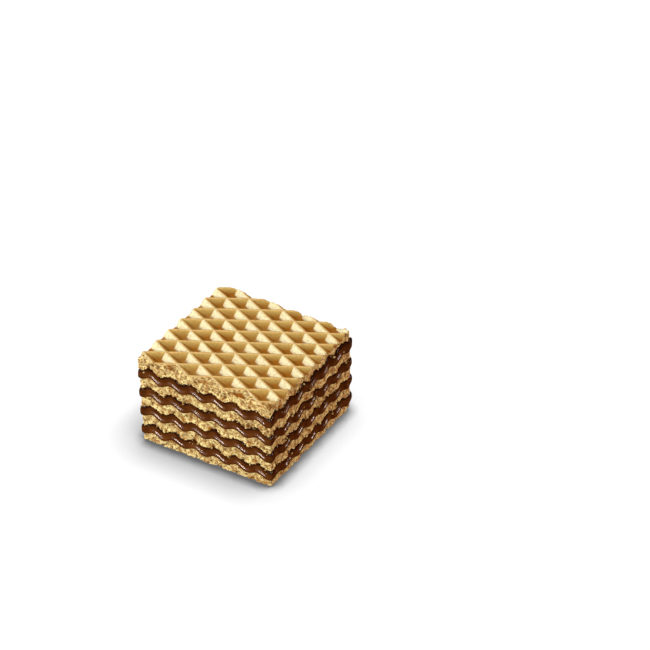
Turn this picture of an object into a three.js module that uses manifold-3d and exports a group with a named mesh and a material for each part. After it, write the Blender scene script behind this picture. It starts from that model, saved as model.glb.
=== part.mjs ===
// A square bite-size wafer: five wafer sheets with four layers of cream between them.
// Millimetres, +Z up. The origin is the middle of the underside, X runs along the front side.
import * as THREE from "three";
import { mergeVertices } from "three/addons/utils/BufferGeometryUtils.js";
import Module from "manifold-3d";

// The stack of layers.
const SIDE = 22;
const SHEETS = 5;
const SHEET = 1.54;
const CREAM = 1.56;
const SEAM = 0.05; // clear space between a sheet and the cream on it
const HEIGHT = SHEETS * SHEET + (SHEETS - 1) * (CREAM + 2 * SEAM);

// The corrugation that all inner faces share. Its furrows run from side to side of the block on the
// diagonal, so every cut side shows it at the same pitch and it runs on round the corners.
const WAVE_LENGTH = 3.58;
const WAVE_RISE = 0.34;
const WAVE_START = 1.9; // first crest, from the left corner along the front side
const WAVE_STEPS = 6;

// The cream stands out of the cut sides as a bead, most of which has sagged to a lip low on the layer.
const BEAD = 0.34;
const BEAD_LEVELS = [0, 0.04, 0.15, 0.34, 0.46, 1]; // its rings' heights as shares of the layer
const LIP = 0.75; // the lip's share of the bead
const LIP_CROWN = 0.15; // where the lip stands out most
const LIP_END = 0.47; // where it has fallen back to the rest of the bead

// Hopper-shaped pits in a diamond lattice on the two outer faces, with narrow flat ridges between them.
const PIT_SIDES = 4;
const PIT_LENGTH = 5.76;
const PIT_WIDTH = 3.18;
const PIT_SKEW = 0.031; // how far the rows of pits stray from the front side in each millimetre
const PIT_FLOOR = 0.33; // the floor's size as a share of the pit's mouth
const RIDGE = 0.28;
const CUT_OVER = 0.2; // how far a pit's cutter stands out of the face
// The two faces with pits: where a crossing of ridges lies, the pits' depth and the face's height.
const TOP_FACE = { crossing: [0.14, 0.41], depth: 0.63, height: HEIGHT, underside: false };
const BASE_FACE = { crossing: [-1.08, -0.63], depth: 0.3, height: 0, underside: true };

// The block was pressed a little lower at its front corner: the change of height in each millimetre.
const LEAN_X = -0.00257;
const LEAN_Y = 0.00115;

const WAFER = new THREE.MeshStandardMaterial({ color: 0xe6c384, roughness: 0.85, metalness: 0 });
const FILLING = new THREE.MeshStandardMaterial({ color: 0x4e2614, roughness: 0.3, metalness: 0 });

const wasm = await Module();
wasm.setup();

// Distances from the left corner to the right one, along the sides, at which the layers are sampled.
function sideSteps() {
  const step = WAVE_LENGTH / WAVE_STEPS;
  const corners = [0, SIDE, 2 * SIDE];
  const between = [];
  for (let s = WAVE_START % step; s < 2 * SIDE; s += step) {
    if (corners.every((corner) => Math.abs(s - corner) > step / 3)) between.push(s);
  }
  return [...corners, ...between].sort((a, b) => a - b);
}

// A point on the edge of the square, u along the front and v away from it, with its outward direction.
function edgePoint(u, v) {
  const away = new THREE.Vector2((u === SIDE) - (u === 0), (v === SIDE) - (v === 0)).normalize();
  return { x: u - SIDE / 2, y: v - SIDE / 2, away };
}

// One round of the square: along the front and right sides, then back along the rear and left ones.
const STEPS = sideSteps();
const ACROSS = STEPS.length - 1;
const EDGE = [
  ...STEPS.map((s) => edgePoint(Math.min(s, SIDE), Math.max(s - SIDE, 0))),
  ...STEPS.slice(1, -1).map((s) => edgePoint(Math.max(s - SIDE, 0), Math.min(s, SIDE))).reverse(),
];

const flat = (level) => () => level;

const wavy = (level) => (x, y) => {
  const along = x + y + SIDE - WAVE_START;
  return level + WAVE_RISE * Math.cos((2 * Math.PI * along) / WAVE_LENGTH);
};

// A layer with the square's outline, from rings in rising order: each has its height over the square
// and how far it stands out of the sides. The end faces are strips that follow the furrows.
function layer(rings) {
  const position = rings.flatMap(({ height, out }) =>
    EDGE.flatMap(({ x, y, away }) => [x + away.x * out, y + away.y * out, height(x, y)]),
  );
  const round = EDGE.length;
  const index = [];
  for (let ring = 0; ring < rings.length - 1; ring++) {
    for (let i = 0; i < round; i++) {
      const a = ring * round + i;
      const b = ring * round + ((i + 1) % round);
      index.push(a, b, b + round, a, b + round, a + round);
    }
  }
  const top = (rings.length - 1) * round;
  for (let near = 0; near < ACROSS; near++) {
    const next = near + 1;
    const far = (round - near) % round;
    const farNext = round - next;
    if (next < ACROSS) index.push(top + near, top + next, top + farNext, next, near, farNext);
    if (near > 0) index.push(top + near, top + farNext, top + far, farNext, near, far);
  }
  const geometry = new THREE.BufferGeometry();
  geometry.setAttribute("position", new THREE.Float32BufferAttribute(position, 3));
  return geometry.setIndex(index);
}

// How far a quarter round has come out at a share of its height.
const quarterRound = (share) => Math.sqrt(Math.max(0, 1 - share * share));

// How far the bead stands out of the sides at a share of the layer's height.
function beadOut(share) {
  const whole = quarterRound(2 * share - 1);
  const reach = share < LIP_CROWN ? LIP_CROWN : LIP_END - LIP_CROWN;
  const lip = quarterRound((share - LIP_CROWN) / reach);
  return BEAD * ((1 - LIP) * whole + LIP * lip);
}

function creamLayer(bottom) {
  const rings = BEAD_LEVELS.map((share) => ({
    height: wavy(bottom + CREAM * share),
    out: beadOut(share),
  }));
  return layer(rings);
}

function solidOf(geometry) {
  const bare = geometry.clone();
  bare.deleteAttribute("normal");
  bare.deleteAttribute("uv");
  const { attributes, index } = mergeVertices(bare);
  const mesh = new wasm.Mesh({
    numProp: 3,
    vertProperties: new Float32Array(attributes.position.array),
    triVerts: new Uint32Array(index.array),
  });
  return new wasm.Manifold(mesh);
}

function geometryOf(solid) {
  const { vertProperties, triVerts } = solid.getMesh();
  const geometry = new THREE.BufferGeometry();
  geometry.setAttribute("position", new THREE.BufferAttribute(vertProperties, 3));
  return geometry.setIndex(new THREE.BufferAttribute(triVerts, 1));
}

// The cutter of one pit, its mouth at height 0 and its floor below, a diamond in plan.
function pitCutter(depth) {
  const long = PIT_LENGTH / 2;
  const wide = PIT_WIDTH / 2;
  const clearance = (long * wide) / Math.hypot(long, wide);
  const mouth = 1 - RIDGE / 2 / clearance;
  const flare = (mouth * (1 - PIT_FLOOR)) / depth;
  const cutter = new THREE.CylinderGeometry(
    mouth + flare * CUT_OVER,
    mouth * PIT_FLOOR,
    depth + CUT_OVER,
    PIT_SIDES,
  );
  return cutter
    .rotateX(Math.PI / 2)
    .scale(long, wide, 1)
    .translate(0, 0, (CUT_OVER - depth) / 2);
}

// Cuts the lattice of pits into the face at the given height, from above or, for the underside, below.
function withPits(geometry, { crossing, depth, height, underside }) {
  const cutter = pitCutter(depth);
  if (underside) cutter.rotateX(Math.PI);
  cutter.applyMatrix4(new THREE.Matrix4().makeShear(PIT_SKEW, 0, 0, 0, 0, 0));
  const reach = SIDE / 2;
  const columns = Math.ceil(SIDE / PIT_LENGTH) + 1;
  const rows = Math.ceil(SIDE / PIT_WIDTH) + 1;
  let solid = solidOf(geometry);
  for (let column = -columns; column <= columns; column++) {
    for (let row = -rows; row <= rows; row++) {
      const x = crossing[0] + (column * PIT_LENGTH) / 2;
      const y = crossing[1] + (row * PIT_WIDTH) / 2 + PIT_SKEW * (x - crossing[0]);
      const between = (column + row) % 2 !== 0;
      const meets = Math.abs(x) < reach + PIT_LENGTH / 2 && Math.abs(y) < reach + PIT_WIDTH / 2;
      if (between && meets) solid = solid.subtract(solidOf(cutter.clone().translate(x, y, height)));
    }
  }
  return geometryOf(solid);
}

// Scales the heights over the square, so that every layer thins towards the front corner alike.
function leaned(geometry) {
  const position = geometry.attributes.position;
  for (let i = 0; i < position.count; i++) {
    const scale = 1 + LEAN_X * position.getX(i) + LEAN_Y * position.getY(i);
    position.setZ(i, position.getZ(i) * scale);
  }
  geometry.computeVertexNormals();
  return geometry;
}

function waferSheet(number, bottom) {
  const lowest = number === 1;
  const highest = number === SHEETS;
  const sheet = layer([
    { height: lowest ? flat(0) : wavy(bottom), out: 0 },
    { height: highest ? flat(HEIGHT) : wavy(bottom + SHEET), out: 0 },
  ]);
  if (lowest) return withPits(sheet, BASE_FACE);
  if (highest) return withPits(sheet, TOP_FACE);
  return sheet;
}

function named(name, geometry, material) {
  const mesh = new THREE.Mesh(leaned(geometry), material);
  mesh.name = name;
  return mesh;
}

const wafer = new THREE.Group();
wafer.name = "cream_filled_wafer";
for (let number = 1; number <= SHEETS; number++) {
  const bottom = (number - 1) * (SHEET + CREAM + 2 * SEAM);
  wafer.add(named(`wafer_sheet_${number}`, waferSheet(number, bottom), WAFER));
  if (number < SHEETS) {
    wafer.add(named(`cream_layer_${number}`, creamLayer(bottom + SHEET + SEAM), FILLING));
  }
}

export default wafer;
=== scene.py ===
"""Looks of the cream-filled wafer: five baked sheets and four cream layers on a white studio floor.

Lengths are millimetres in the part's frame. They turn to metres where a mesh, lamp or camera is made.
"""
import logging
import math
from dataclasses import dataclass
from enum import Enum
from functools import cached_property

import bmesh
import bpy
import numpy as np
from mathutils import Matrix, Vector


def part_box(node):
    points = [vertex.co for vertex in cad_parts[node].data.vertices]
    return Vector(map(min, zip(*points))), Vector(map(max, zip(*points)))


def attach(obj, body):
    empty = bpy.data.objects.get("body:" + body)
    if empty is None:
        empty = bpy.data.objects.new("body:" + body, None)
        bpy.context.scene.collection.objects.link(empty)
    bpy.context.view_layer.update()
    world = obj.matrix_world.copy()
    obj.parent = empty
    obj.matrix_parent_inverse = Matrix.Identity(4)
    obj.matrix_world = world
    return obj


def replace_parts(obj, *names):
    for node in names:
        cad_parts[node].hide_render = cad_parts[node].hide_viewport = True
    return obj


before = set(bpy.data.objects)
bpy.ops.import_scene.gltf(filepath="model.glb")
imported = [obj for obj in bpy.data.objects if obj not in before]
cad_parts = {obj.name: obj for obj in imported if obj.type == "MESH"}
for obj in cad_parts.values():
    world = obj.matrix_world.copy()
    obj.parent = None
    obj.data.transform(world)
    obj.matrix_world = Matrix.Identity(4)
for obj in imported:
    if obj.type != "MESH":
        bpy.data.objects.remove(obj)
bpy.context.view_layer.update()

Array = np.ndarray
Face = tuple[int, ...]
Span = tuple[float, float]
Triple = tuple[float, float, float]

BODY = "root"
MILLIMETRE = 0.001  # in metres
WHITE = "#ffffff"
LOG = logging.getLogger("wafer")


class Slot(Enum):
    """The record's material slots."""

    WAFER = "wafer"
    CREAM = "cream"


class Paint(Enum):
    """Values that a mesh carries on its points and a material reads."""

    BROWNING_AND_SHADE = "browning_and_shade"  # brown from baking and painted shade, mostly by depth in a pit: 0 on the ridges and 1 on the floor
    CRUMB = "crumb"  # 1 where the sheet is cut or broken open, 0 on its baked skin
    PAINTED_PORE_SHADE = "painted_pore_shade"  # painted shade, most where a point lies deep in a pore of the crumb
    PAINTED_LIGHT = "painted_pale"  # painted light: 1 on the rear right pit walls, which face the key lamp
    PAINTED_CREASE_SHADE = "painted_crease_shade"  # painted shade: 1 where the cream runs in under the sheets


class Outer(Enum):
    """The outer faces that carry the lattice of pits."""

    TOP = 1  # looks up
    UNDERSIDE = -1  # looks down


def ease(share: Array) -> Array:
    """A smooth rise over shares from 0 to 1, level at both ends."""
    return share * share * (3 - 2 * share)


def smooth_step(low: float, high: float, value: Array) -> Array:
    """0 below low, 1 above high and a smooth rise between."""
    return ease(np.clip((value - low) / (high - low), 0, 1))


def quarter_round(share: Array) -> Array:
    """How far a quarter round has come out at a share of its height."""
    return np.sqrt(np.clip(1 - share**2, 0, 1))


@dataclass(frozen=True)
class Grain:
    """Random patterns in space, the same on each run.

    Attributes:
        seed: start of the random draw.
        period: number of lattice cells after which the pattern repeats.
    """

    seed: int
    period: int = 64

    @cached_property
    def levels(self) -> Array:
        """A random level from 0 to 1 in each cell of the lattice."""
        return np.random.default_rng(self.seed).random((self.period,) * 3)

    @cached_property
    def spots(self) -> Array:
        """A random spot in each cell of the lattice."""
        return np.random.default_rng(self.seed + 1).random((self.period,) * 3 + (3,))

    def value(self, points: Array, size: float) -> Array:
        """Smooth random levels.

        Args:
            points: positions, with x, y and z on the last axis.
            size: distance between two random levels.

        Returns:
            A level from -1 to 1 for each position.
        """
        cell = points / size
        corner = np.floor(cell).astype(int)
        share = ease(cell - corner)
        total = np.zeros(points.shape[:-1])
        for step in np.ndindex(2, 2, 2):
            weight = np.where(step, share, 1 - share).prod(axis=-1)
            index = tuple(np.moveaxis((corner + step) % self.period, -1, 0))
            total += weight * self.levels[index]
        return 2 * total - 1

    def cells(self, points: Array, size: float) -> tuple[Array, Array]:
        """Cells round random spots.

        Args:
            points: positions, with x, y and z on the last axis.
            size: mean distance between two spots.

        Returns:
            The distance to the nearest spot, in sizes, and a random level of that spot from 0 to 1.
        """
        cell = points / size
        corner = np.floor(cell).astype(int)
        nearest = np.full(points.shape[:-1], np.inf)
        chance = np.zeros(points.shape[:-1])
        for step in np.ndindex(3, 3, 3):
            place = corner + np.array(step) - 1
            index = tuple(np.moveaxis(place % self.period, -1, 0))
            gap = np.linalg.norm(cell - place - self.spots[index], axis=-1)
            chance = np.where(gap < nearest, self.levels[index], chance)
            nearest = np.minimum(gap, nearest)
        return nearest, chance


@dataclass(frozen=True)
class Stack:
    """The layers' sizes and the corrugation that they share, as in the solids but not quite even.

    Attributes:
        side: the square block's side.
        sheets: number of wafer sheets.
        sheet: thickness of a sheet.
        cream: thickness of a cream layer.
        seam: clear space between a sheet and the cream on it.
        wave_length: length of a wave along a side.
        wave_rise: height of the crests above the mean level.
        wave_start: distance of the first crest from the left corner.
        lean_x: change of the heights in each millimetre along the front side, as a share of them.
        lean_y: their change in each millimetre away from that side.
        uneven: change of the waves' rise, as a share of it.
        drift: how far the crests stray along the waves.
        uneven_size: distance over which rise and drift change.
        grain: the random pattern.
    """

    side: float
    sheets: int = 5
    sheet: float = 1.54
    cream: float = 1.56
    seam: float = 0.05
    wave_length: float = 3.58
    wave_rise: float = 0.34
    wave_start: float = 1.9
    lean_x: float = -0.00257
    lean_y: float = 0.00115
    uneven: float = 0.18
    drift: float = 0.2
    uneven_size: float = 4
    grain: Grain = Grain(seed=41)

    @property
    def height(self) -> float:
        """Height of the whole stack at its middle."""
        return self.sheet_bottom(self.sheets) + self.sheet

    def sheet_bottom(self, number: int) -> float:
        """Mean level of a sheet's lower face, with the sheets numbered from 1 at the bottom."""
        return (number - 1) * (self.sheet + self.cream + 2 * self.seam)

    def cream_bottom(self, number: int) -> float:
        """Mean level of a cream layer's lower face, with the layers numbered from 1 at the bottom."""
        return self.sheet_bottom(number) + self.sheet + self.seam

    def inner_face(self, xy: Array, level: float) -> Array:
        """Heights of a corrugated inner face, whose furrows run on the diagonal and aren't quite even.

        Args:
            xy: places in plan.
            level: the face's mean level.

        Returns:
            The face's height at each place.
        """
        points = np.concatenate([xy, np.full((len(xy), 1), level)], axis=1)
        rise = self.wave_rise * (1 + self.uneven * self.grain.value(points, self.uneven_size))
        drift = self.drift * self.grain.value(points + self.side, self.uneven_size)
        along = xy.sum(axis=1) + self.side - self.wave_start + drift
        return level + rise * np.cos(2 * np.pi * along / self.wave_length)

    def leaned(self, points: Array) -> Array:
        """The points with their heights scaled, so that the stack thins towards its front corner."""
        scale = 1 + self.lean_x * points[..., 0] + self.lean_y * points[..., 1]
        return np.stack([points[..., 0], points[..., 1], points[..., 2] * scale], axis=-1)


@dataclass(frozen=True)
class Edge:
    """One round of the square block in even steps: front, right, rear and left side.

    Attributes:
        side: the square's side.
        steps: number of steps along each side.
        overhang: how far the left side stands out of the square.
        fan: length of side next to a corner over which the outward direction turns.
    """

    side: float
    steps: int
    overhang: float = 0
    fan: float = 0.3

    @property
    def half(self) -> float:
        """Half of the square's side."""
        return self.side / 2

    @property
    def left(self) -> float:
        """Where the left side lies."""
        return -self.half - self.overhang

    @property
    def count(self) -> int:
        """Number of points in one round."""
        return 4 * self.steps

    @cached_property
    def xy(self) -> Array:
        """The points of the round in plan.

        Returns:
            A row for each point, from the left corner along the front side.
        """
        share = np.arange(self.steps) / self.steps
        still = np.full(self.steps, self.half)
        across = self.half - self.left
        sides = [
            (self.left + across * share, -still),
            (still, self.side * share - self.half),
            (self.half - across * share, still),
            (still - self.half + self.left, self.half - self.side * share),
        ]
        return np.concatenate([np.stack(pair, axis=1) for pair in sides])

    @cached_property
    def away(self) -> Array:
        """The outward direction, which fans out at the corners.

        Returns:
            A direction of length 1 for each point of the round.
        """
        normals = np.array([(0, -1), (1, 0), (0, 1), (-1, 0)], float)
        away = np.repeat(normals, self.steps, axis=0)
        away[:: self.steps] += np.roll(normals, 1, axis=0)
        reach = round(self.fan * self.steps / self.side)
        turned = sum(np.roll(away, shift, axis=0) for shift in range(-reach, reach + 1))
        return turned / np.linalg.norm(turned, axis=1, keepdims=True)

    @cached_property
    def to_corner(self) -> Array:
        """Distance from each point to the nearest corner, along the side."""
        place = np.arange(self.count) % self.steps
        return np.minimum(place, self.steps - place) * self.side / self.steps

    def rings(self, heights: Array, out: Array) -> Array:
        """Rings of points round the block, with a level and a distance out of the sides for each point."""
        xy = self.xy + self.away * out[..., None]
        return np.concatenate([xy, heights[..., None]], axis=-1)

    def band(self, rings: int) -> list[Face]:
        """Quads between rings that lie one above the other.

        Args:
            rings: number of rings, the lowest of which starts at point 0.

        Returns:
            The quads, facing out.
        """
        start = np.arange(rings - 1)[:, None] * self.count
        here = start + np.arange(self.count)
        after = start + (np.arange(self.count) + 1) % self.count
        quads = np.stack([here, after, after + self.count, here + self.count], axis=-1)
        return [tuple(quad) for quad in quads.reshape(-1, 4).tolist()]

    def cap(self, first: int, upward: bool) -> list[Face]:
        """Strips across the block that follow the furrows and close a ring.

        Args:
            first: index of the ring's first point.
            upward: whether the strips face up.

        Returns:
            The strips as faces.
        """
        last = self.count
        half = last // 2
        strips: list[Face] = [(0, 1, last - 1)]
        strips += [(i, i + 1, last - i - 1, last - i) for i in range(1, half - 1)]
        strips += [(half - 1, half, half + 1)]
        order = 1 if upward else -1
        return [tuple(first + point for point in strip[::order]) for strip in strips]

    def closed(self, rings: int) -> list[Face]:
        """All faces of a layer with corrugated ends and this number of rings up its sides."""
        top = (rings - 1) * self.count
        return self.band(rings) + self.cap(0, upward=False) + self.cap(top, upward=True)


@dataclass
class Shape:
    """A closed mesh before Blender has it.

    Attributes:
        points: positions, one row each.
        faces: the faces' corners, counter-clockwise from outside.
        paint: values on the points.
    """

    points: Array
    faces: list[Face]
    paint: dict[Paint, Array]

    def make(self, name: str, material: bpy.types.Material, slot: Slot) -> bpy.types.Object:
        """Makes the Blender object, smooth, dressed and riding on the part's body.

        Args:
            name: the piece's name.
            material: its finish.
            slot: the record's slot that the finish belongs to; not used.

        Returns:
            The new piece.
        """
        mesh = bpy.data.meshes.new(name)
        mesh.from_pydata((self.points * MILLIMETRE).tolist(), [], self.faces)
        mesh.shade_smooth()
        for paint, values in self.paint.items():
            layer = mesh.attributes.new(paint.value, "FLOAT", "POINT")
            layer.data.foreach_set("value", np.ascontiguousarray(values, np.float32))
        mesh.materials.append(material)
        piece = bpy.data.objects.new(name, mesh)
        bpy.context.scene.collection.objects.link(piece)
        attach(piece, BODY)
        LOG.info("%s: %d points, %d faces", name, len(mesh.vertices), len(mesh.polygons))
        return piece


@dataclass(frozen=True)
class Crumb:
    """The crisp foam inside a sheet, where it was sawn or broken open.

    Attributes:
        grain: the random pattern.
        pore: mean distance between two pores.
        pore_reach: radius of the largest pores, as a share of that distance.
        least_reach: radius of the smallest, as a share of it too.
        pore_depth: depth of the deepest pores.
        bend: how far the torn foam pushes the pores out of round.
        grit: height of the torn foam between the pores.
        grit_size: size of its grains.
        grit_shade: how much painted shade the foam gets between its grains.
        lump: height of the coarse lumps left by the saw.
        lump_size: size of those lumps.
    """

    grain: Grain = Grain(seed=7)
    pore: float = 0.54
    pore_reach: float = 0.8
    least_reach: float = 0.001
    pore_depth: float = 0.18
    bend: float = 0.08
    grit: float = 0.085
    grit_size: float = 0.36
    grit_shade: float = 0.4
    lump: float = 0.07
    lump_size: float = 0.95

    def relief(self, points: Array) -> tuple[Array, Array]:
        """Relief of the open crumb.

        Args:
            points: positions on the smooth surface.

        Returns:
            The height above the smooth surface, below zero in pores, and the painted shade of each point.
        """
        grit = self.grain.value(points, self.grit_size)
        bent = points + self.bend * grit[..., None]
        to_pore, chance = self.grain.cells(bent, self.pore)
        reach = self.pore_reach * chance + self.least_reach
        pore = np.clip(1 - (to_pore / reach) ** 2, 0, 1) * np.sqrt(chance)
        lumps = self.lump * self.grain.value(points, self.lump_size)
        relief = lumps + self.grit * grit - self.pore_depth * pore
        return relief, np.clip(pore - self.grit_shade * grit, 0, 1)


@dataclass(frozen=True)
class PitLattice:
    """Hopper-shaped pits in a diamond lattice, pressed by the baking iron.

    Attributes:
        crossing: where two ridges cross.
        depth: depth of the pits.
        length: distance between crossings along the long way of a pit.
        width: distance between crossings along the short way.
        skew: how far the rows stray from the front side in each millimetre along it.
        ridge: width of the flat ridges.
        floor: the floor's size as a share of the pit's mouth.
        round_off: rounding of ridges and floors as a share of a wall.
        wobble: how far the ridges stray from straight lines.
        wobble_size: distance over which they stray.
        grain: the random pattern.
    """

    crossing: Span
    depth: float
    length: float = 5.76
    width: float = 3.18
    skew: float = 0.031
    ridge: float = 0.28
    floor: float = 0.33
    round_off: float = 0.09
    wobble: float = 0.045
    wobble_size: float = 2.4
    grain: Grain = Grain(seed=23)

    @property
    def clearance(self) -> float:
        """Distance from a pit's middle to the ridges' middle lines."""
        long, wide = self.length / 2, self.width / 2
        return long * wide / math.hypot(long, wide)

    def place(self, x: Array, y: Array) -> tuple[Array, Array, Array]:
        """Where points lie in the lattice.

        Args:
            x: positions along the front side.
            y: positions away from it.

        Returns:
            The distance to the nearest ridge's middle line, 1 where that ridge lies to the rear right of
            the pit and -1 where it lies to the front left, and the y of the pit round each point.
        """
        points = np.stack([x, y, np.zeros_like(x)], axis=-1)
        x = x + self.wobble * self.grain.value(points, self.wobble_size)
        y = y + self.wobble * self.grain.value(points + self.length, self.wobble_size)
        along = (x - self.crossing[0]) / (self.length / 2)
        stray = self.skew * (x - self.crossing[0])
        across = (y - self.crossing[1] - stray) / (self.width / 2)
        rising, falling = along + across, along - across
        past_rising = rising - 2 * np.round(rising / 2)
        to_falling = np.abs(falling - 2 * np.round(falling / 2))
        nearest = np.minimum(np.abs(past_rising), to_falling) * self.clearance
        wall = np.where(np.abs(past_rising) < to_falling, -np.sign(past_rising), 0)
        pit_rising = 2 * np.floor(rising / 2) + 1
        pit_falling = 2 * np.floor(falling / 2) + 1
        pit_stray = self.skew * (pit_rising + pit_falling) / 2 * (self.length / 2)
        pit_y = self.crossing[1] + (pit_rising - pit_falling) / 2 * (self.width / 2) + pit_stray
        return nearest, wall, pit_y

    def share_of_depth(self, to_ridge: Array) -> Array:
        """How deep in its pit a point lies.

        Args:
            to_ridge: distance from the nearest ridge's middle line.

        Returns:
            A share from 0 on the ridges to 1 on the floor.
        """
        start = self.ridge / 2
        end = self.clearance - self.floor * (self.clearance - start)
        rise = (to_ridge - start) / (end - start)
        soft = self.round_off
        return (np.hypot(rise, soft) - np.hypot(rise - 1, soft) + 1) / 2


@dataclass
class WaferSheet:
    """One baked wafer sheet between two layers of cream, sawn on its four sides.

    Attributes:
        stack: the layers' sizes.
        edge: the round of the block.
        number: the sheet's place in the stack, from 1 at the bottom.
        crumb: the foam that shows on the sawn sides.
        ring_count: number of rings up the sides.
        rim_drop: how far torn flakes of the lower rim hang over the cream below.
        rim_out: how far they stand out.
        rim_size: width of those flakes.
        rim_reach: share of the sheet's height that they take up.
        rim_mean: mean share of a flake that is left.
        rim_change: change of that share from flake to flake.
        fray: change of it by finer tears.
        fray_fineness: how many of those tears a flake has.
        arris: how far the upper and lower edges are worn back.
        arris_reach: share of the sheet's height that is worn.
        corner_wear: how far the four corners are worn back.
        corner_reach: length of side that is worn next to a corner.
    """

    stack: Stack
    edge: Edge
    number: int
    crumb: Crumb = Crumb()
    ring_count: int = 20
    rim_drop: float = 0.24
    rim_out: float = 0.2
    rim_size: float = 0.8
    rim_reach: float = 0.3
    rim_mean: float = 0.3
    rim_change: float = 0.6
    fray: float = 0.06
    fray_fineness: float = 2.3
    arris: float = 0.03
    arris_reach: float = 0.1
    corner_wear: float = 0.02
    corner_reach: float = 0.4

    @property
    def name(self) -> str:
        """The name of the sheet's solid."""
        return f"wafer_sheet_{self.number}"

    @cached_property
    def low(self) -> Array:
        """Level of the lower rim round the block."""
        return self.stack.inner_face(self.edge.xy, self.stack.sheet_bottom(self.number))

    @cached_property
    def high(self) -> Array:
        """Level of the upper rim round the block."""
        return self.stack.inner_face(self.edge.xy, self.stack.sheet_bottom(self.number) + self.stack.sheet)

    def sawn_sides(self) -> tuple[Array, Array, Array]:
        """The rough sides, ring by ring from the lower rim.

        Returns:
            Positions, how far each stands out of the flat side, and its painted pore shade.
        """
        share = np.linspace(0, 1, self.ring_count)[:, None]
        heights = self.low + (self.high - self.low) * share
        flat = self.edge.rings(heights, np.zeros_like(heights))
        relief, painted_pore_shade = self.crumb.relief(flat)
        to_rim = np.minimum(share, 1 - share)
        relief = relief - self.arris * (1 - smooth_step(0, self.arris_reach, to_rim))
        wear = 1 - smooth_step(0, self.corner_reach, self.edge.to_corner)
        relief = relief - self.corner_wear * wear
        flake = self.lower_flakes() * (1 - smooth_step(0, self.rim_reach, share))
        relief = relief + self.rim_out * flake
        heights = heights - self.rim_drop * flake
        return self.edge.rings(heights, relief), relief, painted_pore_shade

    def lower_flakes(self) -> Array:
        """Torn flakes that hang from the lower rim.

        Returns:
            How much of a flake hangs at each point of the round, from 0 to 1.
        """
        rim = np.concatenate([self.edge.xy, self.low[:, None]], axis=1)
        coarse = self.crumb.grain.value(rim, self.rim_size)
        fine = self.crumb.grain.value(rim, self.rim_size / self.fray_fineness)
        return np.clip(self.rim_mean + self.rim_change * coarse + self.fray * fine, 0, 1)

    def shape(self) -> Shape:
        """The sheet's form.

        Returns:
            The closed mesh, foam all over.
        """
        rings, _, painted_pore_shade = self.sawn_sides()
        points = self.stack.leaned(rings.reshape(-1, 3))
        none = np.zeros(len(points))
        paint = {
            Paint.PAINTED_PORE_SHADE: painted_pore_shade.ravel(),
            Paint.CRUMB: np.ones(len(points)),
            Paint.BROWNING_AND_SHADE: none,
            Paint.PAINTED_LIGHT: none,
        }
        return Shape(points, self.edge.closed(self.ring_count), paint)

    def build(self, finish: bpy.types.Material) -> bpy.types.Object:
        """Makes the piece that stands for the sheet's solid, dressed in the finish."""
        piece = self.shape().make(f"{self.name}_baked", finish, Slot.WAFER)
        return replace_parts(piece, self.name)


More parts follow.
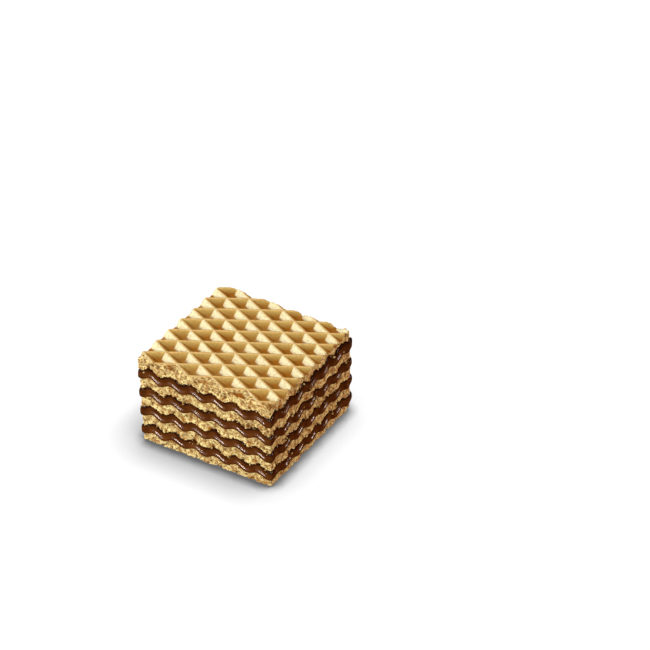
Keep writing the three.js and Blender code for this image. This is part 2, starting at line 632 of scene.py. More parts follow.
@dataclass(kw_only=True)
class PatternedSheet(WaferSheet):
    """An outer sheet with the lattice of pits on its outer face.

    Attributes:
        lattice: the pits.
        outer: which face carries them.
        broken_within: pits whose middle is nearer to the front side than this are broken open by the saw.
        broken_reach: distances from a ridge's middle line between which a broken pit opens.
        broken_fill: share of a broken pit's depth that crumb fills.
        ragged: how far the rims of the broken places stray.
        ragged_size: distance over which they stray.
        edge_crumb: width of the frayed strip along every side but the left.
        edge_drop: how far the outer face's edges are worn down.
        edge_reach: width of that wear.
        shift_reach: width of the strip that follows the sawn sides' relief.
        uneven: height of the outer face's unevenness.
        uneven_size: size of that unevenness.
        grit: height of the fine grit on the baked skin.
        grit_size: size of that grit.
        pore_shade: share of the pores' painted shade that shows on the outer face.
        ridge_fade: shares of the depth between which a ridge's colour gives way to a wall's.
        painted_pale: power that keeps brown colour and painted shade off the rear right wall of each pit.
        painted_pale_ridge: how much painted light the near half of the ridge above that wall gets.
        dark: painted shade that the front left wall, which faces away from the key lamp, has from its top
            on.
        browned_unevenly: change of the browning from pit to pit, as a share of it.
        browned_size: distance over which it changes.
    """

    lattice: PitLattice
    outer: Outer
    broken_within: float = 0.9
    broken_reach: Span = (0.04, 0.28)
    broken_fill: float = 0.75
    ragged: float = 0.12
    ragged_size: float = 0.56
    edge_crumb: float = 0.2
    edge_drop: float = 0.06
    edge_reach: float = 0.25
    shift_reach: float = 0.9
    uneven: float = 0.03
    uneven_size: float = 1.6
    grit: float = 0.012
    grit_size: float = 0.2
    pore_shade: float = 0.5
    ridge_fade: Span = (0.02, 0.12)
    painted_pale: float = 12
    painted_pale_ridge: float = 0.8
    dark: float = 0.65
    browned_unevenly: float = 0.2
    browned_size: float = 4.5

    def __post_init__(self) -> None:
        """Lays out the outer face's grid and finds its places in the lattice."""
        count = self.edge.steps + 1
        along = np.linspace(self.edge.left, self.edge.half, count)
        across = np.linspace(-self.edge.half, self.edge.half, count)
        self.x, self.y = np.meshgrid(along, across, indexing="ij")
        level = np.full_like(self.x, self.stack.height * self.outer.value)
        self.flat = np.stack([self.x, self.y, level], axis=-1)
        self.to_ridge, self.wall, self.pit_y = self.lattice.place(self.x, self.y)
        self.deep = self.lattice.share_of_depth(self.to_ridge)

    @cached_property
    def off_ridge(self) -> Array:
        """0 on the ridges and 1 on the walls and floors of the pits."""
        return smooth_step(*self.ridge_fade, self.deep)

    @cached_property
    def browning_and_shade(self) -> Array:
        """How brown the skin is, from baking and painted shade, most of all on the floors of the pits.

        Returns:
            A share for each place of the grid.
        """
        # Painted shade: more on the front left walls, which face away from the key lamp, almost none on
        # the lit rear right walls.
        dark = self.deep + self.dark * (1 - self.deep) * self.off_ridge
        browning_and_shade = np.select([self.wall > 0, self.wall < 0], [self.deep**self.painted_pale, dark], self.deep)
        change = self.crumb.grain.value(self.flat, self.browned_size)
        return browning_and_shade * (1 + self.browned_unevenly * change)

    @cached_property
    def painted_lit_wall(self) -> Array:
        """Painted light: 1 on each pit's rear right wall, facing the key, a little less on the ridge
        above.
        """
        return (self.wall > 0) * np.maximum(self.off_ridge, self.painted_pale_ridge)

    @cached_property
    def stray(self) -> Array:
        """How far the rims of broken places stray."""
        return self.ragged * self.crumb.grain.value(self.flat, self.ragged_size)

    @cached_property
    def broken(self) -> Array:
        """1 in the pits along the front side that the saw broke open."""
        at_front = self.stack.side / 2 + self.pit_y < self.broken_within
        return at_front * smooth_step(*self.broken_reach, self.to_ridge + self.stray)

    @cached_property
    def opened(self) -> Array:
        """Where the skin is gone.

        Returns:
            1 in the broken pits and along the frayed sides, 0 on the baked skin.
        """
        to_frayed = np.minimum(self.edge.half - self.x, self.edge.half - np.abs(self.y))
        frayed = 1 - smooth_step(0, self.edge_crumb, to_frayed + self.stray)
        return np.maximum(self.broken, frayed)

    @cached_property
    def crumb_relief(self) -> tuple[Array, Array]:
        """The relief that the outer face has where it is open, and its painted pore shade."""
        return self.crumb.relief(self.flat)

    @cached_property
    def sink(self) -> Array:
        """How far the outer face lies inside the block.

        Returns:
            The depth at each place of the grid.
        """
        grain = self.crumb.grain
        to_left_or_right = np.minimum(self.x - self.edge.left, self.edge.half - self.x)
        to_side = np.minimum(to_left_or_right, self.edge.half - np.abs(self.y))
        sink = self.lattice.depth * self.deep * (1 - self.broken_fill * self.broken)
        sink += self.edge_drop * (1 - smooth_step(0, self.edge_reach, to_side))
        sink -= self.opened * self.crumb_relief[0]
        sink -= self.uneven * grain.value(self.flat, self.uneven_size)
        sink -= self.grit * grain.value(self.flat, self.grit_size)
        return np.maximum(sink, 0)

    @cached_property
    def outline(self) -> tuple[Array, Array]:
        """The grid places of the outer face's outline.

        Returns:
            Their indices along both axes, in the order of the round.
        """
        steps = self.edge.steps
        up, zero, end = np.arange(steps), np.zeros(steps, int), np.full(steps, steps)
        along = np.concatenate([up, end, steps - up, zero])
        across = np.concatenate([zero, up, end, steps - up])
        return along, across

    @cached_property
    def low(self) -> Array:
        """Level of the lower rim round the block."""
        return self.sink[self.outline] if self.outer is Outer.UNDERSIDE else super().low

    @cached_property
    def high(self) -> Array:
        """Level of the upper rim round the block."""
        return self.stack.height - self.sink[self.outline] if self.outer is Outer.TOP else super().high

    def lower_flakes(self) -> Array:
        """Torn flakes of the lower rim, of which the bottom sheet has none."""
        return np.zeros(self.edge.count) if self.outer is Outer.UNDERSIDE else super().lower_flakes()

    def outer_face(self, relief: Array) -> Array:
        """Positions of the outer face's grid, moved near the sides as the sawn sides are.

        Args:
            relief: how far each point of the outline stands out of the flat sides.

        Returns:
            Positions on the grid.
        """
        moves = np.zeros_like(self.x)
        moves[self.outline] = relief
        edge = self.edge
        inward = (self.x - edge.left, edge.half - self.x, edge.half + self.y, edge.half - self.y)
        fade = [np.clip(1 - distance / self.shift_reach, 0, 1) ** 2 for distance in inward]
        x = self.x - moves[:1, :] * fade[0] + moves[-1:, :] * fade[1]
        y = self.y - moves[:, :1] * fade[2] + moves[:, -1:] * fade[3]
        level = self.stack.height - self.sink if self.outer is Outer.TOP else self.sink
        return np.stack([x, y, level], axis=-1)

    def shape(self) -> Shape:
        """The sheet's form.

        Returns:
            The closed mesh, with baked skin on the outer face and foam elsewhere.
        """
        rings, relief, painted_pore_shade = self.sawn_sides()
        count = self.edge.count
        top_ring = self.ring_count - 1
        is_top = self.outer is Outer.TOP
        outline_ring = top_ring if is_top else 0
        inner_ring = 0 if is_top else top_ring
        grid = self.outer_face(relief[outline_ring])
        inside = (slice(1, -1), slice(1, -1))
        on_sides = self.ring_count * count
        index = np.empty(self.x.shape, int)
        index[inside] = on_sides + np.arange(self.x[inside].size).reshape(self.x[inside].shape)
        index[self.outline] = outline_ring * count + np.arange(count)
        quads = np.stack([index[:-1, :-1], index[1:, :-1], index[1:, 1:], index[:-1, 1:]], axis=-1)
        quads = quads.reshape(-1, 4)[:, :: self.outer.value]
        faces = self.edge.band(self.ring_count) + [tuple(quad) for quad in quads.tolist()]
        faces += self.edge.cap(inner_ring * count, upward=not is_top)
        points = np.concatenate([rings.reshape(-1, 3), grid[inside].reshape(-1, 3)])
        values = {
            Paint.PAINTED_PORE_SHADE: (painted_pore_shade.ravel(), self.crumb_relief[1] * self.opened * self.pore_shade),
            Paint.CRUMB: (np.ones(on_sides), self.opened),
            Paint.BROWNING_AND_SHADE: (np.zeros(on_sides), self.browning_and_shade),
            Paint.PAINTED_LIGHT: (np.zeros(on_sides), self.painted_lit_wall),
        }
        paint = {
            kind: np.concatenate([sides, face[inside].ravel()]) for kind, (sides, face) in values.items()
        }
        return Shape(self.stack.leaned(points), faces, paint)


@dataclass(frozen=True)
class SmearAndShade:
    """Cream that the saw dragged up the sheet above, on the right side of the block.

    Its dark cream is partly painted shade, most towards the rear corner, where it reaches higher.

    Attributes:
        rise: how far up it was dragged.
        thickness: how far it stands out.
        base: share of the layer's height where the smear starts.
        thick: shares of the height between which it is thickest.
        front_share: share of the rise next to the front corner.
        rear_gain: what that share gains up to the rear corner, where the dark cream is partly painted
            shade.
        rear_power: how late along the side it gains that.
        patch_mean: mean share of the rise in a patch.
        patch_change: change of that share from patch to patch.
        front: distances from the front corner between which the smear sets in.
        past_corner: how far it goes on round the rear corner.
        rear_reach: distance from the rear corner over which it fades.
        rear_left: share of it that is left at that corner.
    """

    rise: float = 0.5
    thickness: float = 0.14
    base: float = 0.5
    thick: Span = (0.8, 0.9)
    front_share: float = 0.6
    rear_gain: float = 1.3
    rear_power: int = 3
    patch_mean: float = 0.75
    patch_change: float = 0.5
    front: Span = (0.2, 1.2)
    past_corner: float = 1.2
    rear_reach: float = 2.4
    rear_left: float = 0.4

    def on_right(self, edge: Edge) -> Array:
        """Where the smear lies.

        Args:
            edge: the round of the block.

        Returns:
            1 on the right side, less near its two corners and 0 elsewhere, for each point of the round.
        """
        x, y = edge.xy.T
        past_front = smooth_step(*self.front, edge.half + y)
        past_side = 1 - smooth_step(0, self.past_corner, edge.half - x)
        at_rear = smooth_step(0, self.rear_reach, edge.half - y)
        return past_front * past_side * (self.rear_left + (1 - self.rear_left) * at_rear)

    def drag(self, edge: Edge, share: Array, patches: Array) -> tuple[Array, Array]:
        """How far the saw moved the bead.

        Args:
            edge: the round of the block.
            share: each ring's share of the layer's height, in a column.
            patches: a random level from -1 to 1 at each point of the rings.

        Returns:
            How far each point is dragged up, and how far it is dragged out.
        """
        on_right = self.on_right(edge)
        to_rear = edge.xy[:, 1] / edge.side + 0.5
        grown = self.front_share + self.rear_gain * to_rear**self.rear_power
        up = self.rise * grown * on_right * smooth_step(self.base, 1, share)
        thick, thin = self.thick
        body = smooth_step(self.base, thick, share) * (1 - smooth_step(thin, 1, share))
        return up * (self.patch_mean + self.patch_change * patches), self.thickness * on_right * body


@dataclass
class CreamLayer:
    """A layer of chocolate cream that beads out of the sawn sides and sags to a lip.

    Attributes:
        stack: the layers' sizes.
        edge: the round of the block.
        number: the layer's place in the stack, from 1 at the bottom.
        smear_and_shade: cream that the saw dragged up the sheet above, partly painted shade near the rear
            corner.
        ring_count: number of rings up the bead.
        bead: how far the cream stands out of the sides.
        lip_crown: share of the layer's height where the lip stands out most.
        lip_end: share of the height where it has fallen back to the rest of the bead.
        lip_share: share of the bead that has sagged into the lip.
        droop: how far the lip hangs down.
        uneven: change of the bead along the sides, as a share of it.
        uneven_size: distance over which it changes.
        ripple: height of the ripples on the bead.
        ripple_size: size of the ripples.
        corner_lip: share of the lip that is left at the corners, where the bead is rounder.
        corner_reach: length of side over which the lip comes back.
        painted_shade_above: shares of the height between which painted shade grows towards the sheet
            above.
        painted_shade_below: shares of the height between which the bead comes out of the painted shade of
            the sheet below.
        grain: the random pattern.
    """

    stack: Stack
    edge: Edge
    number: int
    smear_and_shade: SmearAndShade | None = None
    ring_count: int = 27
    bead: float = 0.33
    lip_crown: float = 0.13
    lip_end: float = 0.39
    lip_share: float = 0.75
    droop: float = 0.08
    uneven: float = 0.2
    uneven_size: float = 2.6
    ripple: float = 0.03
    ripple_size: float = 0.8
    corner_lip: float = 0.1
    corner_reach: float = 1.2
    painted_shade_above: Span = (0.62, 0.97)
    painted_shade_below: Span = (0.01, 0.07)
    grain: Grain = Grain(seed=61)

    @property
    def name(self) -> str:
        """The name of the layer's solid."""
        return f"cream_layer_{self.number}"

    @cached_property
    def turns(self) -> Array:
        """Each ring's angle round the bead, from straight down to straight up."""
        return np.linspace(-0.5, 0.5, self.ring_count) * np.pi

    @cached_property
    def shares(self) -> Array:
        """Each ring's share of the layer's height."""
        return (1 + np.sin(self.turns)) / 2

    @cached_property
    def rings(self) -> Array:
        """Positions of the bead.

        Returns:
            The rings from the lower edge up, as Edge.rings gives them.
        """
        share = self.shares[:, None]
        round_bead = np.cos(self.turns)[:, None]
        bottom = self.stack.cream_bottom(self.number)
        low = self.stack.inner_face(self.edge.xy, bottom)
        high = self.stack.inner_face(self.edge.xy, bottom + self.stack.cream)
        heights = low + (high - low) * share
        flat = self.edge.rings(heights, np.zeros_like(heights))
        reach = np.where(share < self.lip_crown, self.lip_crown, self.lip_end - self.lip_crown)
        lip = quarter_round((share - self.lip_crown) / reach)
        swell = 1 + self.uneven * self.grain.value(flat, self.uneven_size)
        from_corner = smooth_step(0, self.corner_reach, self.edge.to_corner)
        sagged = self.lip_share * (self.corner_lip + (1 - self.corner_lip) * from_corner)
        out = self.bead * swell * ((1 - sagged) * round_bead + sagged * lip)
        ripples = self.grain.value(flat, self.ripple_size)
        out = out + self.ripple * ripples * round_bead
        if self.smear_and_shade:
            up, outward = self.smear_and_shade.drag(self.edge, share, ripples)
            heights = heights + up
            out = out + outward
        return self.edge.rings(heights - self.droop * lip * swell, out)

    def shape(self) -> Shape:
        """The layer's form.

        Returns:
            The closed mesh, with painted shade where it runs in under the sheets.
        """
        points = self.stack.leaned(self.rings.reshape(-1, 3))
        above = smooth_step(*self.painted_shade_above, self.shares)
        below = 1 - smooth_step(*self.painted_shade_below, self.shares)
        painted_crease_shade = np.repeat(np.maximum(above, below), self.edge.count)
        return Shape(points, self.edge.closed(self.ring_count), {Paint.PAINTED_CREASE_SHADE: painted_crease_shade})

    def build(self, finish: bpy.types.Material) -> bpy.types.Object:
        """Makes the piece that stands for the layer's solid, dressed in the finish."""
        piece = self.shape().make(f"{self.name}_bead", finish, Slot.CREAM)
        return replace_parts(piece, self.name)


@dataclass
class StuckCrumbs:
    """Small chips of wafer that the saw left on the cream, most of them under the sheets' torn rims.

    Attributes:
        stack: the layers' sizes.
        layers: the cream that the chips stick to.
        spacing: length of rim for each chip.
        small: size of the smallest chips, which are the most.
        large: size of the largest.
        near_rim: share of the chips that stick near the sheet above.
        rim_rings: shares of a bead's rings between which those stick.
        low_rings: shares of the rings between which the others stick.
        standing: how far a chip's middle stands out of the cream, as a share of its size.
        lift: how far up it stands for each millimetre out.
        stretch: least and most length of a chip along each axis, as shares of its size.
        rough: roughness of the chips, as a share of their size.
        rough_size: size of that roughness in a chip of size 1.
        variety: length of the random pattern that the chips' roughness is taken from.
        painted_pore_shade: how much painted pore shade the chips get, even all over.
        seed: start of the random draw.
    """

    stack: Stack
    layers: list[CreamLayer]
    spacing: float = 1.1
    small: float = 0.1
    large: float = 0.34
    near_rim: float = 0.8
    rim_rings: Span = (0.8, 0.97)
    low_rings: Span = (0.3, 0.8)
    standing: float = 0.2
    lift: float = 0.3
    stretch: Span = (0.7, 1.25)
    rough: float = 0.5
    rough_size: float = 0.45
    variety: float = 3
    painted_pore_shade: float = 0.2
    seed: int = 97

    def ball(self) -> tuple[Array, list[Face]]:
        """The round form that every chip starts from.

        Returns:
            Points and faces of a ball of size 1.
        """
        ball = bmesh.new()
        bmesh.ops.create_icosphere(ball, subdivisions=2, radius=0.5)
        points = np.array([vertex.co for vertex in ball.verts])
        faces = [tuple(vertex.index for vertex in face.verts) for face in ball.faces]
        ball.free()
        return points, faces

    def spot(self, draw: np.random.Generator, layer: CreamLayer) -> tuple[Array, Array]:
        """Where a chip sticks.

        Args:
            draw: the random draw.
            layer: the cream that it sticks to.

        Returns:
            A place on the bead and the direction in which the chip stands out there.
        """
        place = draw.integers(layer.edge.count)
        span = self.rim_rings if draw.random() < self.near_rim else self.low_rings
        ring = int(draw.uniform(*span) * (layer.ring_count - 1))
        return layer.rings[ring, place], np.append(layer.edge.away[place], self.lift)

    def build(self, finish: bpy.types.Material) -> bpy.types.Object:
        """Makes all chips as one piece.

        Args:
            finish: the chips' material.

        Returns:
            The new piece.
        """
        draw = np.random.default_rng(self.seed)
        grain = Grain(self.seed)
        ball, ball_faces = self.ball()
        points: list[Array] = []
        faces: list[Face] = []
        for layer in self.layers:
            for _ in range(int(4 * layer.edge.side / self.spacing)):
                spot, away = self.spot(draw, layer)
                size = self.small + (self.large - self.small) * draw.random() ** 2
                turn, _ = np.linalg.qr(draw.normal(size=(3, 3)))
                pattern = grain.value(ball + self.variety * draw.random(3), self.rough_size)
                rough = 1 + self.rough * pattern[:, None]
                chip = ball * rough * draw.uniform(*self.stretch, 3) * size
                start = len(points) * len(ball)
                points.append(chip @ turn.T + (spot + away * size * self.standing))
                faces += [tuple(start + corner for corner in face) for face in ball_faces]
        joined = self.stack.leaned(np.concatenate(points))
        levels = {Paint.PAINTED_PORE_SHADE: self.painted_pore_shade, Paint.CRUMB: 1, Paint.BROWNING_AND_SHADE: 0, Paint.PAINTED_LIGHT: 0}
        paint = {kind: np.full(len(joined), level, float) for kind, level in levels.items()}
        return Shape(joined, faces, paint).make("wafer_crumbs_stuck", finish, Slot.WAFER)


def linear(colour: str) -> tuple[float, float, float, float]:
    """Turns an sRGB colour to linear values.

    Args:
        colour: a hex value such as #e6c384.

    Returns:
        Linear red, green, blue and alpha.
    """
    channels = [int(colour[start : start + 2], 16) / 255 for start in (1, 3, 5)]
    lit = [c / 12.92 if c <= 0.04045 else ((c + 0.055) / 1.055) ** 2.4 for c in channels]
    return (*lit, 1.0)


def add_node(
    tree: bpy.types.NodeTree, kind: str, output: str, inputs: dict[str, object], **settings: object
) -> bpy.types.NodeSocket:
    """Adds a node with its settings and links.

    Args:
        tree: the material's or world's node tree.
        kind: type of the node.
        output: name or identifier of the output that is used.
        inputs: a value, or another node's output to link, for the name or identifier of each input.
        settings: the node's own properties.

    Returns:
        The output.
    """
    node = tree.nodes.new(kind)
    for name, value in settings.items():
        setattr(node, name, value)
    for name, value in inputs.items():
        socket = next(s for s in node.inputs if name in (s.identifier, s.name))
        if isinstance(value, bpy.types.NodeSocket):
            tree.links.new(value, socket)
        else:
            socket.default_value = value
    return next(s for s in node.outputs if output in (s.identifier, s.name))


def new_material(name: str) -> tuple[bpy.types.Material, bpy.types.NodeTree, bpy.types.NodeSocket]:
    """Starts a material with an empty node tree.

    Args:
        name: the material's name.

    Returns:
        The material, its node tree and the input for its surface.
    """
    material = bpy.data.materials.new(name)
    material.use_nodes = True
    tree = material.node_tree
    tree.nodes.clear()
    output = tree.nodes.new("ShaderNodeOutputMaterial")
    return material, tree, output.inputs["Surface"]


@dataclass(frozen=True)
class Pattern:
    """A random pattern in a material.

    Attributes:
        size: size of its largest features.
        detail: number of times that finer features are added, each half as large.
        start: level of the pattern where what it stands for sets in.
        full: level where that is full.
        most: its share there.
    """

    size: float
    detail: float
    start: float = 0.0
    full: float = 1.0
    most: float = 1.0

    @property
    def noise(self) -> dict[str, float]:
        """What a noise node needs to draw the pattern."""
        return {"Scale": 1 / (self.size * MILLIMETRE), "Detail": self.detail}

    @property
    def share(self) -> dict[str, float]:
        """What a map range node needs to turn the pattern to shares."""
        return {"From Min": self.start, "From Max": self.full, "To Max": self.most}


@dataclass(frozen=True)
class BakedWafer:
    """Baked wheat batter: a skin pressed smooth by the iron, and sawn foam inside.

    Attributes:
        skin: the skin where it is neither pale nor brown.
        toasted: its toasted patches.
        ridge: the ridges.
        painted_pale: painted light, a lighter colour on the rear right pit walls, which face the key lamp.
        browned_and_shaded: the pit floors, which touched the iron longest, partly brown from that and
            partly painted shade.
        speck: specks of bran in the skin.
        foam: the sawn foam.
        foam_toasted: its toasted patches and grains.
        pore: painted shade in its pores and between its grains.
        patches: the skin's toasted patches.
        specks: the bran in the skin.
        grains: the foam's toasted grains.
        mottle: the foam's toasted patches.
        grit: the surface's grains of flour.
        grit_height: height of those grains.
        brown_power: how late towards the floor of a pit its walls turn brown.
        ridge_browning: browning at which the ridges' colour has given way.
        ior: starch's index of refraction.
        mirror: how much the dry surface mirrors, 0.5 for a smooth one.
        skin_roughness: roughness of the pressed skin.
        foam_roughness: roughness of the sawn foam.
        light_inside: share of the light that goes into the foam and comes out again.
        depth_of_light: how far red light spreads in it.
        light_spread: how far red, green and blue spread, as shares of that.
    """

    skin: str = "#d4b362"
    toasted: str = "#dba850"
    ridge: str = "#f0c67e"
    painted_pale: str = "#e6d9a8"
    browned_and_shaded: str = "#ac690a"
    speck: str = "#b07c36"
    foam: str = "#ffe8a0"
    foam_toasted: str = "#9c5b08"
    pore: str = "#703c06"
    patches: Pattern = Pattern(3.2, detail=3, start=0.42, full=0.68, most=0.35)
    # Bran and toasted grains are about 0.1 mm, too fine to show. They are drawn nearly two pixels wide.
    specks: Pattern = Pattern(0.28, detail=2, start=0.52, full=0.66, most=0.42)
    grains: Pattern = Pattern(0.28, detail=2, start=0.48, full=0.6, most=0.9)
    mottle: Pattern = Pattern(1.0, detail=4, start=0.43, full=0.7)
    # Flour is finer than 0.1 mm. Its grit is drawn about a pixel wide, which is as fine as shows.
    grit: Pattern = Pattern(0.14, detail=3)
    grit_height: float = 0.04
    brown_power: float = 1.5
    ridge_browning: float = 0.14
    ior: float = 1.5
    mirror: float = 0.25
    skin_roughness: float = 0.5
    foam_roughness: float = 0.95
    light_inside: float = 0.1
    depth_of_light: float = 0.5
    light_spread: Triple = (1.0, 0.55, 0.22)

    def material(self) -> bpy.types.Material:
        """Makes the finish, in which the meshes' paint tells skin and foam apart.

        Returns:
            The material.
        """
        # Dry and matt, so the light shows every facet and pore. Deep in the pits it is brown partly where
        # the iron was hottest and partly as painted shade, with painted light on the lit walls and painted
        # shade in the pores.
        material, tree, surface = new_material("wheat_wafer_baked_and_sawn")
        place = add_node(tree, "ShaderNodeTexCoord", "Object", {})
        browning_and_shade, crumb, painted_pore_shade, painted_pale = (
            add_node(tree, "ShaderNodeAttribute", "Fac", {}, attribute_name=paint.value)
            for paint in (Paint.BROWNING_AND_SHADE, Paint.CRUMB, Paint.PAINTED_PORE_SHADE, Paint.PAINTED_LIGHT)
        )
        shares = []
        for pattern in (self.patches, self.specks, self.mottle, self.grains):
            noise = add_node(tree, "ShaderNodeTexNoise", "Fac", {"Vector": place, **pattern.noise})
            share = add_node(tree, "ShaderNodeMapRange", "Result", {"Value": noise, **pattern.share})
            shares.append(share)
        toast, bran, mottle, grains = shares
        brown = add_node(
            tree, "ShaderNodeMath", "Value",
            {"Value": browning_and_shade, "Value_001": self.brown_power}, operation="POWER",
        )
        on_ridge = add_node(
            tree, "ShaderNodeMapRange", "Result",
            {"Value": browning_and_shade, "From Max": self.ridge_browning, "To Min": 1.0, "To Max": 0.0},
        )
        # The foam's toasted coat also takes the brown and painted shade deep in the pits.
        for other in (grains, brown):
            mottle = add_node(
                tree, "ShaderNodeMath", "Value", {"Value": mottle, "Value_001": other}, operation="MAXIMUM"
            )
        # The lighter coat on the rear right pit walls is painted light where the key lamp falls.
        skin_coats = [
            (toast, self.toasted),
            (on_ridge, self.ridge),
            (painted_pale, self.painted_pale),
            (brown, self.browned_and_shaded),
            (bran, self.speck),
        ]
        foam_coats = [(mottle, self.foam_toasted), (painted_pore_shade, self.pore)]
        coloured = []
        for ground, coats in ((self.skin, skin_coats), (self.foam, foam_coats)):
            colour = linear(ground)
            for share, coat in coats:
                colour = add_node(
                    tree, "ShaderNodeMix", "Result_Color",
                    {"Factor_Float": share, "A_Color": colour, "B_Color": linear(coat)}, data_type="RGBA",
                )
            coloured.append(colour)
        skin, foam = coloured
        colour = add_node(
            tree, "ShaderNodeMix", "Result_Color",
            {"Factor_Float": crumb, "A_Color": skin, "B_Color": foam}, data_type="RGBA",
        )
        roughness = add_node(
            tree, "ShaderNodeMapRange", "Result",
            {"Value": crumb, "To Min": self.skin_roughness, "To Max": self.foam_roughness},
        )
        grit = add_node(tree, "ShaderNodeTexNoise", "Fac", {"Vector": place, **self.grit.noise})
        bump = add_node(
            tree, "ShaderNodeBump", "Normal",
            {"Height": grit, "Distance": self.grit_height * MILLIMETRE, "Strength": 1.0},
        )
        shader = add_node(
            tree, "ShaderNodeBsdfPrincipled", "BSDF",
            {
                "Base Color": colour,
                "Roughness": roughness,
                "IOR": self.ior,
                "Specular IOR Level": self.mirror,
                "Subsurface Weight": self.light_inside,
                "Subsurface Radius": self.light_spread,
                "Subsurface Scale": self.depth_of_light * MILLIMETRE,
                "Normal": bump,
            },
        )
        tree.links.new(shader, surface)
        return material


@dataclass(frozen=True)
class ChocolateCream:
    """Chocolate cream filling: fat and cocoa, spread warm and sawn cold.

    Attributes:
        cocoa: the lighter streaks.
        dark: the darker ones.
        painted_crease_shade: painted shade on the cream where it runs in under the sheets.
        streaks: the streaks that spreading leaves.
        ripples: the ripples that the saw leaves.
        ripple_height: height of those ripples.
        ior: cocoa butter's index of refraction.
        mirror: how much the surface mirrors, 0.5 for a smooth one.
        roughness: roughness of the set fat.
    """

    cocoa: str = "#643510"
    dark: str = "#502609"
    painted_crease_shade: str = "#2a0d03"
    streaks: Pattern = Pattern(1.4, detail=3, start=0.35, full=0.65)
    ripples: Pattern = Pattern(0.5, detail=1)
    ripple_height: float = 0.006
    ior: float = 1.47
    mirror: float = 0.5
    roughness: float = 0.2

    def material(self) -> bpy.types.Material:
        """Makes the finish.

        Returns:
            The material.
        """
        # Dark and glossy from the fat, so it shows sharp streaks of light on its lip.
        material, tree, surface = new_material("chocolate_cream_filling")
        place = add_node(tree, "ShaderNodeTexCoord", "Object", {})
        streaks, ripples = (
            add_node(tree, "ShaderNodeTexNoise", "Fac", {"Vector": place, **pattern.noise})
            for pattern in (self.streaks, self.ripples)
        )
        lighter = add_node(tree, "ShaderNodeMapRange", "Result", {"Value": streaks, **self.streaks.share})
        # Painted shade where the cream runs in under the sheets.
        shaded = add_node(tree, "ShaderNodeAttribute", "Fac", {}, attribute_name=Paint.PAINTED_CREASE_SHADE.value)
        colour = linear(self.dark)
        for share, coat in ((lighter, self.cocoa), (shaded, self.painted_crease_shade)):
            colour = add_node(
                tree, "ShaderNodeMix", "Result_Color",
                {"Factor_Float": share, "A_Color": colour, "B_Color": linear(coat)}, data_type="RGBA",
            )
        bump = add_node(
            tree, "ShaderNodeBump", "Normal",
            {"Height": ripples, "Distance": self.ripple_height * MILLIMETRE, "Strength": 1.0},
        )
        shader = add_node(
            tree, "ShaderNodeBsdfPrincipled", "BSDF",
            {
                "Base Color": colour,
                "Roughness": self.roughness,
                "IOR": self.ior,
                "Specular IOR Level": self.mirror,
                "Normal": bump,
            },
        )
        tree.links.new(shader, surface)
        return material


@dataclass(frozen=True)
class OpalFloor:
    """Opal acrylic sheet that glows white, with painted shadow from ambient occlusion leaning to the
    right.

    Attributes:
        white: brightness of the open floor.
        shade: brightness of the wide painted shadow.
        reach: how far the wide painted shadow reaches.
        wide_open_span: shares of open space round the lean between which the wide painted shadow fades.
        contact_shade: what the narrow painted shadow under the wafer's edge leaves of the glow.
        contact: how far the narrow painted shadow reaches.
        open_gap: shares of open space between which it fades.
        shadow_lean: direction round which the wide painted shadow is looked for, leaning to the right.
        samples: number of directions that are looked along for each shadow.
    """

    white: float = 1.04
    shade: float = 0.42
    reach: float = 7.5
    wide_open_span: Span = (0.45, 0.97)
    contact_shade: float = 0.35
    contact: float = 2.2
    open_gap: Span = (0.5, 0.95)
    shadow_lean: Triple = (0.3, 0.15, 0.94)
    samples: int = 16

    def material(self) -> bpy.types.Material:
        """Makes the finish.

        Returns:
            The material.
        """
        # Glows white all over and without a glint, with a painted soft grey shadow
        # where ambient occlusion finds the wafer near.
        material, tree, surface = new_material("opal_acrylic_glow_painted_shadow")
        shadow_lean = add_node(tree, "ShaderNodeCombineXYZ", "Vector", dict(zip("XYZ", self.shadow_lean)))
        wide_occlusion = add_node(
            tree, "ShaderNodeAmbientOcclusion", "AO",
            {"Distance": self.reach * MILLIMETRE, "Normal": shadow_lean}, samples=self.samples,
        )
        gap = add_node(
            tree, "ShaderNodeAmbientOcclusion", "AO",
            {"Distance": self.contact * MILLIMETRE}, samples=self.samples,
        )
        glow, left = (
            add_node(
                tree, "ShaderNodeMapRange", "Result",
                {"Value": seen, "From Min": shut, "From Max": clear, "To Min": dark, "To Max": bright},
            )
            for seen, (shut, clear), dark, bright in (
                (wide_occlusion, self.wide_open_span, self.shade, self.white),
                (gap, self.open_gap, self.contact_shade, 1.0),
            )
        )
        glow = add_node(
            tree, "ShaderNodeMath", "Value", {"Value": glow, "Value_001": left}, operation="MULTIPLY"
        )
        shader = add_node(tree, "ShaderNodeEmission", "Emission", {"Strength": glow})
        tree.links.new(shader, surface)
        return material


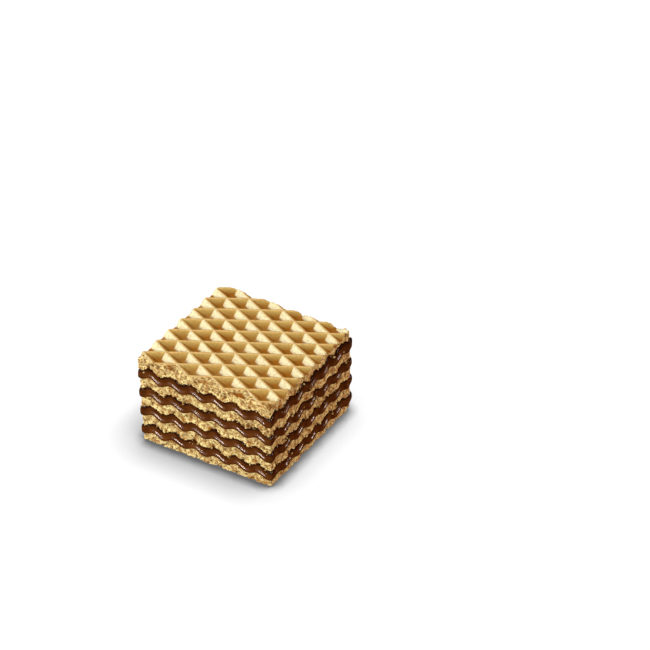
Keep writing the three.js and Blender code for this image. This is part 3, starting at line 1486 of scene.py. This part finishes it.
@dataclass(frozen=True)
class SoftBox:
    """A flat lamp that shines at the wafer.

    Attributes:
        name: the lamp's name.
        towards: direction from the wafer to the lamp.
        brightness: what a white card would show that faces the lamp, 1 for white.
        distance: how far away it stands.
        size: the lamp's width.
        height: the lamp's height.
        shades: whether it lights matt surfaces.
        mirrored: whether it shows in glossy ones.
        colour: its light's colour.
    """

    name: str
    towards: Triple
    brightness: float
    distance: float = 600
    size: float = 160
    height: float = 160
    shades: bool = True
    mirrored: bool = True
    colour: str = WHITE

    def place(self, pieces: list[bpy.types.Object]) -> None:
        """Makes the lamp, with its power worked out from the brightness.

        Args:
            pieces: the pieces that it lights.
        """
        lamp = bpy.data.lights.new(self.name, "AREA")
        lamp.color = linear(self.colour)[:3]
        lamp.shape = "RECTANGLE"
        lamp.size = self.size * MILLIMETRE
        lamp.size_y = self.height * MILLIMETRE
        distance = self.distance * MILLIMETRE
        lamp.energy = self.brightness * (math.pi * distance) ** 2
        holder = bpy.data.objects.new(self.name, lamp)
        direction = Vector(self.towards).normalized()
        holder.location = direction * distance
        holder.rotation_mode = "QUATERNION"
        holder.rotation_quaternion = direction.to_track_quat("Z", "Y")
        holder.visible_diffuse = self.shades
        holder.visible_glossy = self.mirrored
        lit = bpy.data.collections.new(f"{self.name}_lit")
        for piece in pieces:
            lit.objects.link(piece)
        holder.light_linking.receiver_collection = lit
        bpy.context.scene.collection.objects.link(holder)


@dataclass(frozen=True)
class Streak(SoftBox):
    """A lamp that lights nothing and shows only as a streak in glossy surfaces.

    Attributes:
        distance: how far away it stands.
        shades: off, as it lights nothing.
        colour: a warm white.
    """

    distance: float = 500
    shades: bool = False
    colour: str = "#ffefe2"


@dataclass(frozen=True)
class Studio:
    """The floor, the light and the camera.

    Attributes:
        floor_side: the floor's side.
        floor_gap: how far the floor lies below the wafer, so that the two don't touch.
        ambient: brightness of the even light all round.
        lamps: the lamps that light the whole wafer.
        streaks: the lamps that only the cream mirrors.
        eye: the camera's place.
        azimuth: the side that it looks from, in degrees from the front.
        elevation: how steeply it looks down, in degrees.
        focal_length: the lens's focal length, in pixels of the picture.
        picture: the picture's side in pixels.
        sensor: the sensor's side.
        nearest: nearest distance that the camera sees.
    """

    floor_side: float = 3000
    floor_gap: float = 0.02
    ambient: float = 0.25
    lamps: tuple[SoftBox, ...] = (
        SoftBox("key_left", (-0.83, -0.06, 0.555), 0.8),
        SoftBox("fill_front", (-0.45, -0.88, 0.12), 0.46, mirrored=False),
        SoftBox("fill_high", (0.3, -0.85, 0.43), 0.45, mirrored=False),
        SoftBox("fill_right", (0.74, 0.65, 0.17), 0.36, mirrored=False, colour="#ffb06c"),
        SoftBox("fill_rear", (-0.1, 0.99, 0.08), 0.35, mirrored=False),
    )
    streaks: tuple[Streak, ...] = (
        Streak("sheen_front", (-0.425, -0.85, 0.3), 0.08, size=260, height=200),
        Streak("streak_front", (0.04, -0.92, 0.36), 0.5, size=230, height=18),
        Streak("streak_right", (0.945, 0.256, 0.21), 0.13, size=60, height=20),
    )
    eye: Triple = (127.7, -192.3, 171.9)
    azimuth: float = 30.76
    elevation: float = 33.8
    focal_length: float = 1942
    picture: float = 650
    sensor: float = 36
    nearest: float = 10

    def lay_floor(self) -> None:
        """Lays the floor, which isn't part of the wafer."""
        half = self.floor_side / 2 * MILLIMETRE
        level = -self.floor_gap * MILLIMETRE
        corners = [(-half, -half, level), (half, -half, level), (half, half, level), (-half, half, level)]
        mesh = bpy.data.meshes.new("floor")
        mesh.from_pydata(corners, [], [(0, 1, 2, 3)])
        mesh.materials.append(OpalFloor().material())
        floor = bpy.data.objects.new("floor", mesh)
        floor.visible_glossy = False
        floor.visible_diffuse = False
        bpy.context.scene.collection.objects.link(floor)

    def light(self, wafer: list[bpy.types.Object], cream: list[bpy.types.Object]) -> None:
        """Sets the lamps and the even light all round.

        Args:
            wafer: the pieces of wafer.
            cream: the pieces of cream, which alone mirror the streaks.
        """
        for lamp in self.lamps:
            lamp.place(wafer + cream)
        for lamp in self.streaks:
            lamp.place(cream)
        world = bpy.data.worlds.new("studio")
        bpy.context.scene.world = world
        world.use_nodes = True
        tree = world.node_tree
        tree.nodes.clear()
        output = tree.nodes.new("ShaderNodeOutputWorld")
        even = {"Color": linear(WHITE), "Strength": self.ambient}
        glow = add_node(tree, "ShaderNodeBackground", "Background", even)
        tree.links.new(glow, output.inputs["Surface"])
        world.cycles_visibility.glossy = False

    def place_camera(self) -> None:
        """Sets the camera where the photograph was taken from."""
        camera = bpy.data.cameras.new("camera")
        camera.sensor_width = self.sensor
        camera.lens = self.sensor * self.focal_length / self.picture
        camera.clip_start = self.nearest * MILLIMETRE
        holder = bpy.data.objects.new("camera", camera)
        turn, rise = math.radians(self.azimuth), math.radians(self.elevation)
        back = Vector((math.sin(turn) * math.cos(rise), -math.cos(turn) * math.cos(rise), math.sin(rise)))
        holder.location = Vector(self.eye) * MILLIMETRE
        holder.rotation_mode = "QUATERNION"
        holder.rotation_quaternion = (-back).to_track_quat("-Z", "Y")
        bpy.context.scene.collection.objects.link(holder)
        bpy.context.scene.camera = holder

    def set_up(self, wafer: list[bpy.types.Object], cream: list[bpy.types.Object]) -> None:
        """Makes the whole studio.

        Args:
            wafer: the pieces of wafer.
            cream: the pieces of cream.
        """
        self.lay_floor()
        self.light(wafer, cream)
        self.place_camera()
        bpy.context.scene.view_settings.view_transform = "Standard"


STEPS = 264  # steps along a side of the beads and of the sheets with pits
FINE_STEPS = 400  # steps along a side of the sheets between
TOP_OVERHANG = 0.45  # how far the top sheet stands out at the left
TOP_CORNER_WEAR = 0.15  # how far its corners are worn back
BASE_PITS = PitLattice(crossing=(-1.08, -0.63), depth=0.3)
TOP_PITS = PitLattice(crossing=(0.14, 0.41), depth=0.63)


def main() -> None:
    """Builds the wafer's pieces in order, then the studio round them."""
    logging.basicConfig(level=logging.INFO, format="%(message)s")
    low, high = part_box("wafer_sheet_1")
    stack = Stack(side=(high.x - low.x) / MILLIMETRE)
    edge = Edge(stack.side, STEPS)
    fine_edge = Edge(stack.side, FINE_STEPS)
    top_edge = Edge(stack.side, STEPS, TOP_OVERHANG)
    wafer = BakedWafer().material()
    cream = ChocolateCream().material()
    bottom_sheet = PatternedSheet(stack, edge, 1, lattice=BASE_PITS, outer=Outer.UNDERSIDE)
    inner_sheets = [WaferSheet(stack, fine_edge, number) for number in range(2, stack.sheets)]
    top_sheet = PatternedSheet(
        stack, top_edge, stack.sheets, corner_wear=TOP_CORNER_WEAR, lattice=TOP_PITS, outer=Outer.TOP
    )
    baked = [sheet.build(wafer) for sheet in (bottom_sheet, *inner_sheets, top_sheet)]
    layers = [CreamLayer(stack, edge, number) for number in range(1, stack.sheets - 1)]
    layers += [CreamLayer(stack, edge, stack.sheets - 1, SmearAndShade())]
    beads = [layer.build(cream) for layer in layers]
    baked += [StuckCrumbs(stack, layers).build(wafer)]
    Studio().set_up(baked, beads)


if __name__ == "__main__":
    main()
